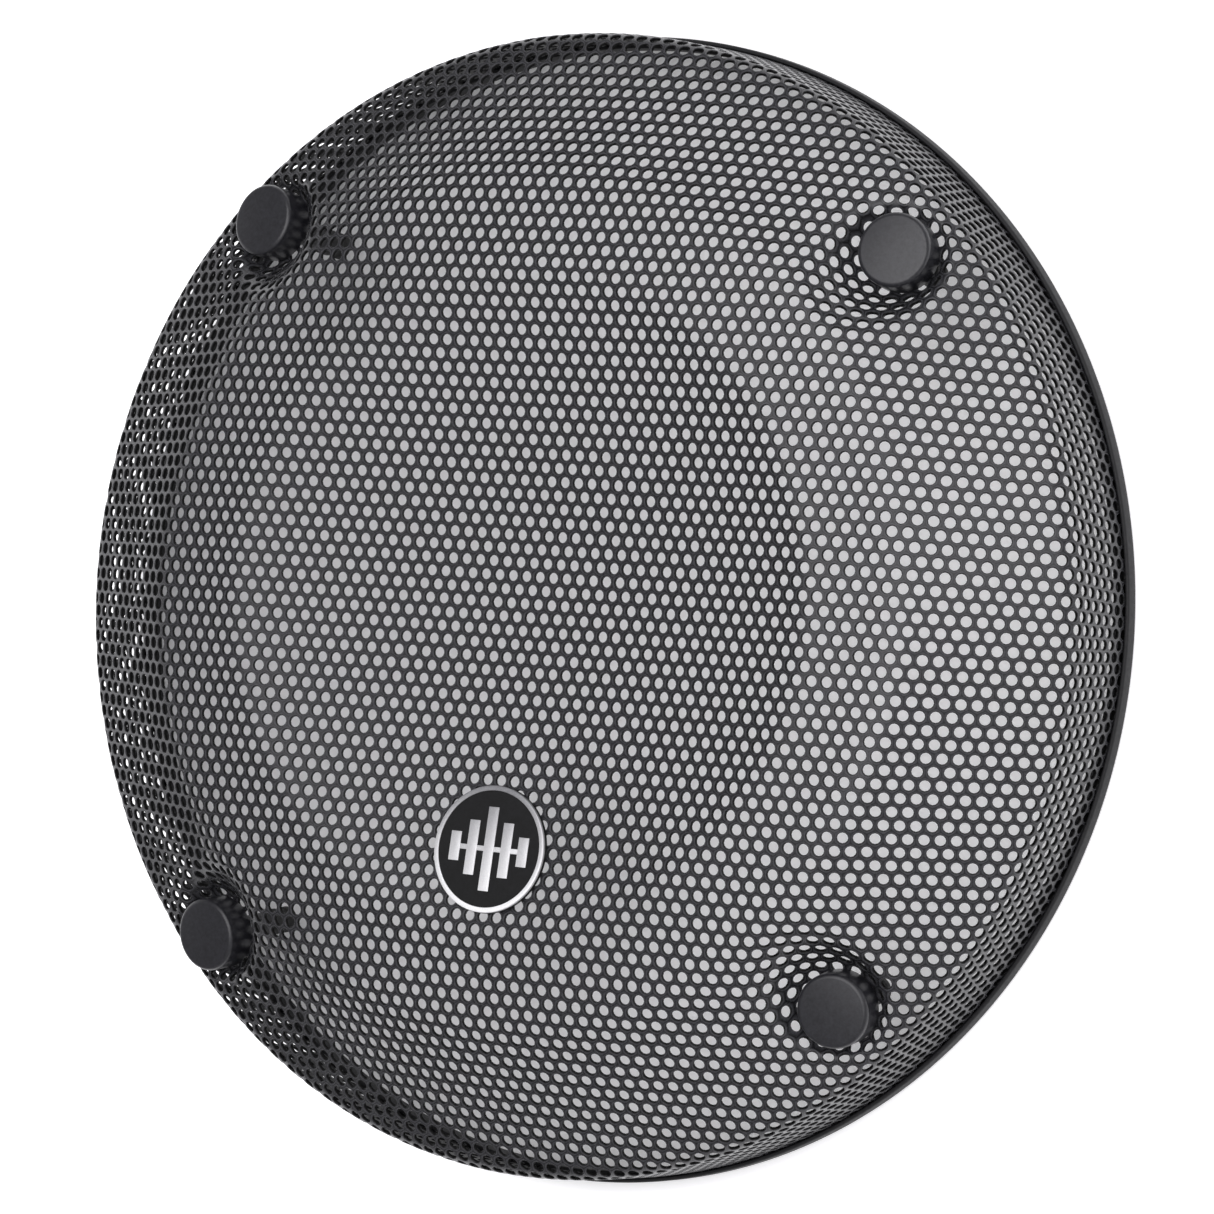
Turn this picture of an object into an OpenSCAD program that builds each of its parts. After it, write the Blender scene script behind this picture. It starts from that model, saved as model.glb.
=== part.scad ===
// Round subwoofer grille: a deep-drawn sheet dish with a push-on edge trim, four
// standoff posts held by lock nuts under pull-off caps, and a round badge.
// The dish is drawn as a plain shell, without its perforations.
// +Z points out of the front, +Y is the top, and z = 0 is the back plane of the trim.

/* [Dish] */
// Radius where the cone would meet the side wall, on the front surface
shoulder_r = 157.9; // [154:0.1:162]
// Height of that corner above the back plane
shoulder_h = 32.6; // [30:0.1:36]
// Slope of the cone from the crease out to the shoulder, in degrees
cone_slope = 30.3; // [28:0.1:32]
// Radius of the crease between the flat land and the cone
crease_r = 117; // [113:0.5:120]
// Slope of the land between the ridge and the crease, in degrees
land_slope = 8.2; // [6:0.1:10]
// Radius of the ridge around the sunken centre
ridge_r = 91; // [86:0.5:95]
// Radius of the sphere that the sunken centre belongs to
bowl_sphere_r = 574; // [540:1:620]
// Bend radius at the ridge
ridge_bend = 22; // [15:0.5:25]
// Bend radius at the crease
crease_bend = 23; // [15:0.5:25]
// Bend radius at the shoulder
shoulder_bend = 6.8; // [4:0.1:8]
// Draft of the side wall, in degrees
wall_draft = 1; // [0.5:0.1:1.2]
// Thickness of the sheet
sheet_t = 0.9; // [0.7:0.1:1]

/* [Pockets] */
// Radius of the circle that the four pocket centres lie on
pocket_circle_r = 141.5; // [140.5:0.1:142]
// Height of a pocket's floor at its centre
pocket_floor_z = 35.6; // [35:0.1:36.5]
// Outward lean of the pockets, posts and caps, in degrees
lean = 11; // [10:0.5:13]
// Radius of a pocket's floor
pocket_floor_r = 11; // [10.8:0.1:12]
// Slope of a pocket's wall from its floor, in degrees
pocket_wall_slope = 57; // [50:1:60]

/* [Posts and caps] */
// Length of a post behind the pocket floor
post_length = 25; // [22:0.5:29]
// Radius of a post's barrel
post_r = 3.2; // [3:0.1:4]
// Radius of the screw bore through a post
screw_bore_r = 2.2; // [1.6:0.1:2.3]
// Radius of a post's threaded spigot
spigot_r = 4.6; // [4.2:0.1:5]
// Radius of a lock nut
nut_r = 8.12; // [7.8:0.01:8.4]
// Radial clearance between a nut and the cap over it
cap_clearance = 0.08; // [0.03:0.01:0.1]
// Radius of a cap
cap_r = 10.2; // [9.6:0.1:10.4]
// Height of a cap's face above the pocket floor
cap_face_h = 8.8; // [8:0.1:10]

/* [Badge] */
// Distance of the badge's centre from the dish's centre
badge_offset = 67.7; // [60:0.1:70]
// Radius of the badge
badge_r = 17.5; // [16:0.1:18]
// Width of the bright ring around the badge
badge_ring_w = 1.5; // [1.2:0.1:2]
// Height of the badge's face above the sheet
badge_h = 2.5; // [2.4:0.1:3]

/* [Edge trim] */
// Height of the trim's outer lip
trim_outer_h = 4.6; // [4:0.1:6]
// Height of the trim's inner lip
trim_inner_h = 7; // [6:0.1:8]
// Thickness of each lip
trim_lip_t = 1.2; // [1:0.1:1.6]

/* [Hidden] */
$fn = 64;

// Azimuth of each corner, seen from the front
top_right = 45;
top_left = 135;
bottom_left = 225;
bottom_right = 315;

// Corners of the front surface's meridian, as [radius, height]
shoulder = [shoulder_r, shoulder_h];
crease = [crease_r, shoulder_h + (shoulder_r - crease_r) * tan(cone_slope)];
ridge = [ridge_r, crease.y + (crease_r - ridge_r) * tan(land_slope)];
bowl_z = ridge.y - bowl_sphere_r + sqrt(pow(bowl_sphere_r, 2) - pow(ridge_r, 2));
bowl_edge_angle = asin(ridge_r / bowl_sphere_r);
bowl_edge = ridge - 10 * [cos(bowl_edge_angle), sin(bowl_edge_angle)];
sheet_edge_z = 1.6;
wall_foot = [shoulder_r + (shoulder_h - sheet_edge_z) * tan(wall_draft), sheet_edge_z];

// Edge trim, from its outside in
trim_slot_gap = 0.15;
trim_slot_r = wall_foot.x + trim_slot_gap;
trim_slot_w = sheet_t + 2 * trim_slot_gap;
trim_r = trim_slot_r + trim_lip_t;
trim_inner_r = trim_slot_r - trim_slot_w - trim_lip_t;
trim_round = 0.7;

// Stack on a post's axis: 0 is the pocket floor's front surface, positive to the front
washer_t = 0.8;
nut_t = 2.2;
stack_h = washer_t + nut_t;
flange_t = 2;
flange_r = 7;
foot_end_t = 1.5;
foot_sleeve_l = 8;
foot_wall = 0.5;
cap_gap = 0.15;
cap_wall_top = 1.4;
cap_edge_round = 1.3;
countersink_r = 3.8;
pocket_reach = 30;

// Stack on the badge's axis: 0 is the sheet's front surface
badge_lift = 0.35;
badge_rebate_h = badge_h - 0.8;
face_recess = 0.25;
stud_r = 1.35;
stud_hole_r = 1.55;
stud_spacing = 20;
backing_r = 13.5;
backing_t = 1;
backing_gap = 0.1;
push_nut_t = 0.8;
stud_end = -(sheet_t + backing_gap + backing_t + push_nut_t + 0.6);
badge_slope = asin(badge_offset / bowl_sphere_r);
badge_z = bowl_z + bowl_sphere_r - sqrt(pow(bowl_sphere_r, 2) - pow(badge_offset, 2));

// Emblem: upright bars joined by a line, like a sound level display
emblem_bars = [8, 15, 23, 15, 8];
emblem_bar_w = 3.2;
emblem_step = 5.4;
emblem_line_w = 1.4;

function unit(v) = v / norm(v);
function spun(p, a) = [p.x * cos(a) - p.y * sin(a), p.x * sin(a) + p.y * cos(a)];

// Points of the bend at corner b on the way from a to c, set back by inset
function bend(a, b, c, r, inset, n) =
    let (
        u = unit(a - b),
        v = unit(c - b),
        half = acos(u * v) / 2,
        centre = b + unit(u + v) * r / sin(half),
        start = (b + u * r / tan(half) - centre) * (r - inset) / r,
        turn = (180 - 2 * half) * sign(cross(-u, v))
    )
    [for (i = [0:n]) centre + spun(start, turn * i / n)];

// Points of the spherical centre, from the axis out
function bowl_arc(inset, n) =
    let (last = asin((bowl_edge.x + 6) / bowl_sphere_r))
    [for (i = [0:n])
        [(bowl_sphere_r + inset) * sin(last * i / n),
         bowl_z + bowl_sphere_r - (bowl_sphere_r + inset) * cos(last * i / n)]];

// The dish's meridian from its centre to its edge, set back by inset
function meridian(inset) =
    concat(
        bowl_arc(inset, 7),
        bend(bowl_edge, ridge, crease, ridge_bend, inset, 4),
        bend(ridge, crease, shoulder, crease_bend, inset, 4),
        bend(crease, shoulder, wall_foot, shoulder_bend, inset, 5)
    );

module solid_under_meridian(inset, foot_z) {
    rotate_extrude($fn = 180)
        polygon(concat(meridian(inset), [[wall_foot.x - inset, foot_z], [0, foot_z]]));
}

// Places its children on the axis of the pocket at this azimuth
module on_post(azimuth) {
    rotate([0, 0, azimuth])
        translate([pocket_circle_r, 0, pocket_floor_z])
            rotate([0, lean, 0])
                children();
}

// Places its children on the badge's axis
module on_badge() {
    translate([0, -badge_offset, badge_z])
        rotate([-badge_slope, 0, 0])
            children();
}

module at_studs() {
    for (x = [-stud_spacing / 2, stud_spacing / 2])
        translate([x, 0, 0])
            children();
}

// The space in front of a pocket's floor, grown by one sheet for the back surface
module pocket_space(grow) {
    floor_r = pocket_floor_r + grow * tan(pocket_wall_slope / 2);
    translate([0, 0, -grow])
        cylinder(
            h = pocket_reach,
            r1 = floor_r,
            r2 = floor_r + pocket_reach / tan(pocket_wall_slope)
        );
}

module pockets(grow) {
    for (azimuth = [top_right, top_left, bottom_left, bottom_right])
        on_post(azimuth)
            pocket_space(grow);
}

module perforated_dish() {
    color([0.13, 0.13, 0.14])
        difference() {
            solid_under_meridian(0, sheet_edge_z);
            pockets(0);
            difference() {
                solid_under_meridian(sheet_t, 0);
                pockets(sheet_t);
            }
            for (azimuth = [top_right, top_left, bottom_left, bottom_right])
                on_post(azimuth)
                    translate([0, 0, -5])
                        cylinder(h = 10, r = spigot_r + 0.2);
            on_badge()
                at_studs()
                    translate([0, 0, -5])
                        cylinder(h = 10, r = stud_hole_r);
        }
}

module edge_trim() {
    color([0.09, 0.09, 0.10])
        rotate_extrude($fn = 180)
            polygon([
                [trim_inner_r, 0],
                [trim_r - trim_round, 0],
                [trim_r, trim_round],
                [trim_r, trim_outer_h - trim_round],
                [trim_r - trim_round, trim_outer_h],
                [trim_slot_r, trim_outer_h],
                [trim_slot_r, sheet_edge_z],
                [trim_slot_r - trim_slot_w, sheet_edge_z],
                [trim_slot_r - trim_slot_w, trim_inner_h],
                [trim_inner_r, trim_inner_h],
            ]);
}

module cap() {
    inner_r = nut_r + cap_clearance;
    inner_h = cap_face_h - cap_wall_top;
    edge = [for (a = [0:15:90])
        [cap_r - cap_edge_round + cap_edge_round * cos(a),
         cap_face_h - cap_edge_round + cap_edge_round * sin(a)]];
    color([0.10, 0.10, 0.11])
        rotate_extrude()
            polygon(concat(
                [[inner_r, cap_gap], [cap_r, cap_gap]],
                edge,
                [[0, cap_face_h], [0, inner_h], [inner_r, inner_h]]
            ));
}

module lock_nut() {
    notch_w = 2;
    color([0.62, 0.62, 0.64])
        difference() {
            translate([0, 0, washer_t])
                cylinder(h = nut_t, r = nut_r);
            cylinder(h = stack_h + 1, r = spigot_r);
            for (a = [0:90:270])
                rotate([0, 0, a])
                    translate([spigot_r + 1.2, -notch_w / 2, stack_h - 1])
                        cube([nut_r, notch_w, 2]);
        }
}

module washer() {
    color([0.66, 0.66, 0.68])
        difference() {
            cylinder(h = washer_t, r = nut_r - 0.3);
            translate([0, 0, -1])
                cylinder(h = washer_t + 2, r = spigot_r + 0.2);
        }
}

module post() {
    color([0.12, 0.12, 0.13])
        difference() {
            union() {
                translate([0, 0, -sheet_t])
                    cylinder(h = stack_h + sheet_t, r = spigot_r);
                translate([0, 0, -sheet_t - flange_t])
                    cylinder(h = flange_t, r = flange_r);
                translate([0, 0, -post_length])
                    cylinder(h = post_length - sheet_t, r = post_r);
            }
            translate([0, 0, -post_length - 1])
                cylinder(h = post_length + stack_h + 2, r = screw_bore_r);
            translate([0, 0, stack_h - (countersink_r - screw_bore_r)])
                cylinder(h = countersink_r - screw_bore_r + 0.01, r1 = screw_bore_r, r2 = countersink_r);
        }
}

module post_foot() {
    color([0.16, 0.16, 0.16])
        difference() {
            translate([0, 0, -post_length - foot_end_t])
                cylinder(h = foot_sleeve_l + foot_end_t, r = post_r + foot_wall);
            translate([0, 0, -post_length])
                cylinder(h = foot_sleeve_l + 1, r = post_r);
            translate([0, 0, -post_length - foot_end_t - 1])
                cylinder(h = foot_end_t + 2, r = screw_bore_r + 0.4);
        }
}

module badge_base() {
    color([0.07, 0.07, 0.07])
        on_badge() {
            translate([0, 0, badge_lift])
                cylinder(h = badge_rebate_h - badge_lift, r = badge_r);
            at_studs()
                translate([0, 0, stud_end])
                    cylinder(h = badge_lift - stud_end, r = stud_r);
        }
}

module badge_ring() {
    color([0.82, 0.82, 0.84])
        on_badge()
            difference() {
                translate([0, 0, badge_rebate_h])
                    cylinder(h = badge_h - badge_rebate_h, r = badge_r - 0.1);
                translate([0, 0, badge_rebate_h - 1])
                    cylinder(h = badge_h, r = badge_r - badge_ring_w);
            }
}

module badge_face() {
    color([0.05, 0.05, 0.05])
        on_badge()
            translate([0, 0, badge_rebate_h])
                cylinder(h = badge_h - badge_rebate_h - face_recess, r = badge_r - badge_ring_w);
}

module badge_emblem() {
    reach = emblem_step * (len(emblem_bars) - 1);
    color([0.82, 0.82, 0.84])
        on_badge()
            translate([0, 0, badge_h - face_recess])
                linear_extrude(height = face_recess - 0.05) {
                    square([reach, emblem_line_w], center = true);
                    for (i = [0:len(emblem_bars) - 1])
                        translate([i * emblem_step - reach / 2, 0])
                            square([emblem_bar_w, emblem_bars[i]], center = true);
                }
}

module badge_backing_plate() {
    color([0.62, 0.62, 0.64])
        on_badge()
            difference() {
                translate([0, 0, -sheet_t - backing_gap - backing_t])
                    cylinder(h = backing_t, r = backing_r);
                at_studs()
                    translate([0, 0, -10])
                        cylinder(h = 10, r = stud_r + 0.1);
            }
}

module badge_push_nuts() {
    push_nut_r = 3.2;
    color([0.66, 0.66, 0.68])
        on_badge()
            at_studs()
                translate([0, 0, -sheet_t - backing_gap - backing_t - push_nut_t])
                    difference() {
                        cylinder(h = push_nut_t, r = push_nut_r);
                        translate([0, 0, -1])
                            cylinder(h = push_nut_t + 2, r = stud_r);
                    }
}

perforated_dish();
edge_trim();
on_post(top_left) cap();  // cap_top_left
on_post(top_right) cap();  // cap_top_right
on_post(bottom_left) cap();  // cap_bottom_left
on_post(bottom_right) cap();  // cap_bottom_right
on_post(top_left) lock_nut();  // lock_nut_top_left
on_post(top_right) lock_nut();  // lock_nut_top_right
on_post(bottom_left) lock_nut();  // lock_nut_bottom_left
on_post(bottom_right) lock_nut();  // lock_nut_bottom_right
on_post(top_left) washer();  // washer_top_left
on_post(top_right) washer();  // washer_top_right
on_post(bottom_left) washer();  // washer_bottom_left
on_post(bottom_right) washer();  // washer_bottom_right
on_post(top_left) post();  // post_top_left
on_post(top_right) post();  // post_top_right
on_post(bottom_left) post();  // post_bottom_left
on_post(bottom_right) post();  // post_bottom_right
on_post(top_left) post_foot();  // post_foot_top_left
on_post(top_right) post_foot();  // post_foot_top_right
on_post(bottom_left) post_foot();  // post_foot_bottom_left
on_post(bottom_right) post_foot();  // post_foot_bottom_right
badge_base();
badge_ring();
badge_face();
badge_emblem();
badge_backing_plate();
badge_push_nuts();
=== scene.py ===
"""Looks of the round subwoofer grille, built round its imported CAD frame.

The sheet is one flat sheet of perforations, laid over the drawn dish along its meridians. Every other
piece is a lathe-turned or bar-shaped mesh with rounded edges. All sizes are in metres, in the frame of
the CAD: +Z out of the front, +Y to the top, and z = 0 on the floor, which the edge trim lies on.
"""
import math

import bmesh
import bpy
import numpy as np
from mathutils import Matrix, Vector


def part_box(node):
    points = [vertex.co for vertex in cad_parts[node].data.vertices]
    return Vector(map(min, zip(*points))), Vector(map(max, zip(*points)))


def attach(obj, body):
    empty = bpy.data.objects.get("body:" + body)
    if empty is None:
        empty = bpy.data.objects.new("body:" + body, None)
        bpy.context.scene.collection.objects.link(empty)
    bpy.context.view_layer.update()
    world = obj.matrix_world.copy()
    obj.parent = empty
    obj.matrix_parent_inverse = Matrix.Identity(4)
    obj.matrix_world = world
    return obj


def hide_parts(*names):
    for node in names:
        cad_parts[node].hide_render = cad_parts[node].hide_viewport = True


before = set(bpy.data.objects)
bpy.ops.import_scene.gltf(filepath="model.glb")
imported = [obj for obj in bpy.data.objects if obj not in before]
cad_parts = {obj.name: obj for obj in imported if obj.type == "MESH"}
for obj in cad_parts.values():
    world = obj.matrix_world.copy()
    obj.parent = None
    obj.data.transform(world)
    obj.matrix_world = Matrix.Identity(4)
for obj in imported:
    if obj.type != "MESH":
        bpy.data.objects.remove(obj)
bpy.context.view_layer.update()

MM = 0.001

# ---------------------------------------------------------------- sizes of the dish
SHEET_T = 0.9 * MM
SHOULDER = (157.9 * MM, 32.6 * MM)
CREASE_R = 117 * MM
RIDGE_R = 91 * MM
CONE_SLOPE = math.radians(30.3)
LAND_SLOPE = math.radians(8.2)
WALL_DRAFT = math.radians(1)
BOWL_SPHERE_R = 574 * MM
RIDGE_BEND = 22 * MM
CREASE_BEND = 23 * MM
SHOULDER_BEND = 6.8 * MM
SHEET_EDGE_Z = 1.6 * MM
# Points along the arcs of the meridian, and along the whole of it
BOWL_STEPS = 60
RIDGE_STEPS = 12
CREASE_STEPS = 16
SHOULDER_STEPS = 20
MERIDIAN_STEPS = 1200

CREASE = (CREASE_R, SHOULDER[1] + (SHOULDER[0] - CREASE_R) * math.tan(CONE_SLOPE))
RIDGE = (RIDGE_R, CREASE[1] + (CREASE_R - RIDGE_R) * math.tan(LAND_SLOPE))
BOWL_Z = RIDGE[1] - BOWL_SPHERE_R + math.sqrt(BOWL_SPHERE_R**2 - RIDGE_R**2)
WALL_FOOT = (
    SHOULDER[0] + (SHOULDER[1] - SHEET_EDGE_Z) * math.tan(WALL_DRAFT),
    SHEET_EDGE_Z,
)

# ---------------------------------------------------------------- perforation
PITCH = 4.3 * MM
HOLE_R = 1.53 * MM
HOLE_BEVEL = 0.34 * MM
HOLE_SIDES = 12
# The hole nearest the dish's axis is this far from it, and the rows are turned by this much
HOLE_OFFSET = (0.24 * PITCH, -0.1 * PITCH)
HOLE_TWIST = math.radians(0.6)
# The middles of the holes stay this far inside the sheet's edge
HOLE_EDGE_MARGIN = 0.1 * PITCH
# The flat frame of a hole is never shrunk to less than this, however far the sheet is stretched
MIN_SHRINK = 0.45
# Slanted rows need this many times the numbers that straight ones would
SLANT_MARGIN = 1.2
# Row and column numbers lie between this and its negative
LATTICE_RANGE = 4096
# The sheet is made in zones. Each ends at this radius on the flat sheet, the last one past its edge
SHEET_ZONES = {
    "dish_bowl_sheet": 84 * MM,
    "dish_land_sheet": 126 * MM,
    "dish_cone_sheet": 163 * MM,
    "dish_wall_sheet": 1,
}
# Values of the sheet's "hole_edge" attribute
IN_BORE = 0
ON_WEB = 0.5
ON_LIP = 1

# ---------------------------------------------------------------- pockets, posts and caps
CORNERS = {"top_right": 45, "top_left": 135, "bottom_left": 225, "bottom_right": 315}
POCKET_CIRCLE_R = 141.5 * MM
POCKET_FLOOR_Z = 35.6 * MM
LEAN = math.radians(11)
POCKET_FLOOR_R = 11 * MM
POCKET_WALL_SLOPE = math.radians(57)
POCKET_FOOT_ROUND = 1.1 * MM
POCKET_RIM_ROUND = 4 * MM
# A pocket draws the sheet in up to the first radius, and stretches it between the two
POCKET_STRETCH = (138 * MM, 152 * MM)
# Inside this radius, and past this azimuth from its axis, a pocket has no effect
POCKET_INNER_R = 100 * MM
POCKET_REACH = math.radians(20)
SPIGOT_R = 4.6 * MM
SPIGOT_HOLE_R = 4.9 * MM
# A perforation whose middle is nearer than this to a spigot's axis is left out
NO_HOLE_R = SPIGOT_HOLE_R * 0.62
NUT_R = 8.12 * MM
NUT_NOTCH_W = 2 * MM
NUT_NOTCH_DEPTH = 1 * MM
NUT_NOTCH_R = SPIGOT_R + 1.2 * MM
CAP_CLEARANCE = 0.08 * MM
CAP_R = 10.2 * MM
CAP_FACE_H = 8.8 * MM
CAP_GAP = 0.15 * MM
CAP_WALL_TOP = 1.4 * MM
CAP_EDGE_ROUND = 1.3 * MM
WASHER_T = 0.8 * MM
STACK_H = 3.0 * MM
FLANGE_T = 2 * MM
FLANGE_R = 7 * MM
POST_LENGTH = 25 * MM
POST_R = 3.2 * MM
BORE_R = 2.2 * MM
COUNTERSINK_R = 3.8 * MM
FOOT_R = POST_R + 0.5 * MM
FOOT_WAIST_R = FOOT_R - 0.35 * MM
FOOT_BORE_R = BORE_R + 0.4 * MM
FOOT_SLEEVE = 8 * MM
FOOT_END = 1.5 * MM

# ---------------------------------------------------------------- edge trim
TRIM_OUTER_LIP_H = 4.6 * MM
TRIM_SLOT_GAP = 0.15 * MM
TRIM_SLOT_SPARE = 0.3 * MM

# ---------------------------------------------------------------- badge
BADGE_OFFSET = 67.7 * MM
BADGE_R = 17.5 * MM
BADGE_RING_W = 1.5 * MM
BADGE_LIFT = 0.35 * MM
BADGE_H = 2.5 * MM
BADGE_REBATE_H = BADGE_H - 0.8 * MM
BADGE_RING_INNER_R = BADGE_R - BADGE_RING_W
BADGE_RING_OUTER_R = BADGE_R - 0.1 * MM
FACE_RECESS = 0.25 * MM
FACE_TOP = BADGE_H - FACE_RECESS
STUD_R = 1.35 * MM
STUD_ROOT = BADGE_LIFT + 0.1 * MM
STUD_SPACING = 20 * MM
BACKING_R = 13.5 * MM
BACKING_TOP = -SHEET_T - 0.1 * MM
BACKING_T = 1 * MM
BACKING_END = BACKING_TOP - BACKING_T
PUSH_NUT_T = 0.8 * MM
PUSH_NUT_R = 3.2 * MM
STUD_END = BACKING_END - PUSH_NUT_T - 0.6 * MM
EMBLEM_BARS = (8 * MM, 15 * MM, 23 * MM, 15 * MM, 8 * MM)
EMBLEM_BAR_W = 3.2 * MM
EMBLEM_STEP = 5.4 * MM
EMBLEM_LINE_W = 1.4 * MM
EMBLEM_TOP = BADGE_H - 0.05 * MM
EMBLEM_SUNK = FACE_TOP - 0.05 * MM
# The line is a little lower than the bars, so that no two faces share a plane
EMBLEM_LINE_TOP = EMBLEM_TOP - 0.03 * MM
EMBLEM_BEVEL = 0.06 * MM
EMBLEM_LINE_BEVEL = 0.05 * MM

# ---------------------------------------------------------------- how finely the pieces are made
TRIM_SEGMENTS = 360
CAP_SEGMENTS = 128
FITTING_SEGMENTS = 96
BADGE_SEGMENTS = 160
BADGE_RING_SEGMENTS = 200
BACKING_SEGMENTS = 120
PUSH_NUT_SEGMENTS = 48
STUD_SEGMENTS = 32
ROUNDING_STEPS = 5
SHARP_ANGLE = math.radians(35)
# Points nearer than this are one point
WELD = 1e-7
# Keeps a division by a length of zero out
TINY = 1e-9

# ---------------------------------------------------------------- studio, in metres and watts
LIGHT_COLOUR = (0.985, 0.975, 1)
# Strength of the surround at the left and at the right
SURROUND_STRENGTH = (0.25, 0.85)
FLOOR_SIZE = 6
# Painted light on the floor under the grille: its glow at the grille's left and right edges
FLOOR_GLOW_UNDER = (0.02, 0.26)
FLOOR_GLOW_REACH = 0.16
# Painted light added outside the grille, which hides the grille's shadow and grows between these
# distances from the axis
FLOOR_GLOW_OUTSIDE = 0.6
FLOOR_GLOW_EDGE = (0.157, 0.168)


# ================================================================ objects and pieces
def in_scene(name, data):
    """A new object in the scene that holds this mesh, camera or light."""
    thing = bpy.data.objects.new(name, data)
    bpy.context.scene.collection.objects.link(thing)
    return thing


def add_piece(name, mesh, material, body, node):
    """Adds a mesh as a piece that rides on a body and stands for a CAD node."""
    mesh.materials.append(material)
    piece = in_scene(name, mesh)
    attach(piece, body)
    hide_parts(node)


# ================================================================ the drawn sheet
def bend_points(a, b, c, radius, steps):
    """Points of the arc that rounds corner b on the way from a to c."""
    a, b, c = (np.array(p) for p in (a, b, c))
    u = (a - b) / np.linalg.norm(a - b)
    v = (c - b) / np.linalg.norm(c - b)
    half = math.acos(u @ v) / 2
    centre = b + (u + v) / np.linalg.norm(u + v) * radius / math.sin(half)
    start = b + u * radius / math.tan(half) - centre
    way = np.sign(-u[0] * v[1] + u[1] * v[0])
    turns = np.linspace(0, (math.pi - 2 * half) * way, steps + 1)
    cos, sin = np.cos(turns), np.sin(turns)
    return centre + np.stack([start[0] * cos - start[1] * sin, start[0] * sin + start[1] * cos], 1)


def meridian():
    """The front surface from its centre to its edge: arc length, radius and height."""
    edge_angle = math.asin(RIDGE_R / BOWL_SPHERE_R)
    bowl_edge = (RIDGE[0] - math.cos(edge_angle), RIDGE[1] - math.sin(edge_angle))
    ridge = bend_points(bowl_edge, RIDGE, CREASE, RIDGE_BEND, RIDGE_STEPS)
    angles = np.linspace(0, math.asin(ridge[0][0] / BOWL_SPHERE_R), BOWL_STEPS)[:-1]
    bowl = np.stack(
        [BOWL_SPHERE_R * np.sin(angles), BOWL_Z + BOWL_SPHERE_R * (1 - np.cos(angles))], 1
    )
    crease = bend_points(RIDGE, CREASE, SHOULDER, CREASE_BEND, CREASE_STEPS)
    shoulder = bend_points(CREASE, SHOULDER, WALL_FOOT, SHOULDER_BEND, SHOULDER_STEPS)
    points = np.concatenate([bowl, ridge, crease, shoulder, [WALL_FOOT]])
    steps = np.hypot(*np.diff(points, axis=0).T)
    arc = np.concatenate([[0], np.cumsum(steps)])
    fine = np.linspace(0, arc[-1], MERIDIAN_STEPS)
    return fine, np.interp(fine, arc, points[:, 0]), np.interp(fine, arc, points[:, 1])


def eased(x, width):
    """max(x, 0) with its corner rounded where x is between -width and width."""
    middle = (np.clip(x, -width, width) + width) ** 2 / (4 * width)
    return middle + np.maximum(x - width, 0)


ARC, RADIUS, HEIGHT = meridian()


def pocketed_height(radius, height, turn):
    """Height of the sheet with the pocket pressed in, at this azimuth from the pocket's axis."""
    out = radius * np.cos(turn) - POCKET_CIRCLE_R
    side = radius * np.sin(turn)
    rise = math.tan(POCKET_WALL_SLOPE) * eased(
        np.hypot(out, side) - POCKET_FLOOR_R, POCKET_FOOT_ROUND
    )
    pocket = POCKET_FLOOR_Z - math.tan(LEAN) * out + rise
    return height - eased(height - pocket, POCKET_RIM_ROUND)


# Azimuths from a pocket's axis that its tables are made for
TURNS = np.linspace(0, POCKET_REACH, 81)
POCKET_START = int(np.searchsorted(RADIUS, POCKET_INNER_R))


def pocket_tables():
    """Radius and height against arc length, for each azimuth in TURNS."""
    radius = RADIUS[POCKET_START:]
    height = HEIGHT[POCKET_START:]
    stretch_start, stretch_end = POCKET_STRETCH
    along = np.clip((RADIUS - stretch_start) / (stretch_end - stretch_start), 0, 1)
    unstretched = 1 - along**2 * (3 - 2 * along)
    radii, heights = [], []
    for turn in TURNS:
        pressed = pocketed_height(radius, height, turn)
        steps = np.hypot(np.diff(radius), np.diff(pressed))
        arc = ARC[POCKET_START] + np.concatenate([[0], np.cumsum(steps)])
        drawn_in = np.interp(ARC, arc, radius) - RADIUS
        place = RADIUS + drawn_in * unstretched
        radii.append(place)
        heights.append(np.interp(place, radius, pressed))
    return np.array(radii), np.array(heights)


POCKET_RADII, POCKET_HEIGHTS = pocket_tables()


def drawn(flat):
    """Where points of the flat sheet lie once it is drawn: arc length along each meridian is kept."""
    arc = np.minimum(np.hypot(flat[:, 0], flat[:, 1]), ARC[-1])
    azimuth = np.arctan2(flat[:, 1], flat[:, 0])
    radius = np.interp(arc, ARC, RADIUS)
    height = np.interp(arc, ARC, HEIGHT)
    turn = np.abs(np.mod(azimuth, math.pi / 2) - math.pi / 4)
    near = (turn < POCKET_REACH) & (arc > ARC[POCKET_START])
    row = turn[near] / POCKET_REACH * (len(TURNS) - 1)
    column = arc[near] / ARC[-1] * (len(ARC) - 1)
    i = np.minimum(row.astype(int), len(TURNS) - 2)
    k = np.minimum(column.astype(int), len(ARC) - 2)
    down, across = row - i, column - k
    for table, target in ((POCKET_RADII, radius), (POCKET_HEIGHTS, height)):
        first = table[i, k] * (1 - across) + table[i, k + 1] * across
        second = table[i + 1, k] * (1 - across) + table[i + 1, k + 1] * across
        target[near] = first * (1 - down) + second * down
    return np.stack([radius * np.cos(azimuth), radius * np.sin(azimuth), height], 1)


def surface_normals(flat):
    """Front normals of the drawn sheet."""
    step = 0.1 * MM
    here = drawn(flat)
    along = drawn(flat + [step, 0]) - here
    across = drawn(flat + [0, step]) - here
    normal = np.cross(along, across)
    return normal / np.linalg.norm(normal, axis=1)[:, None]


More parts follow.
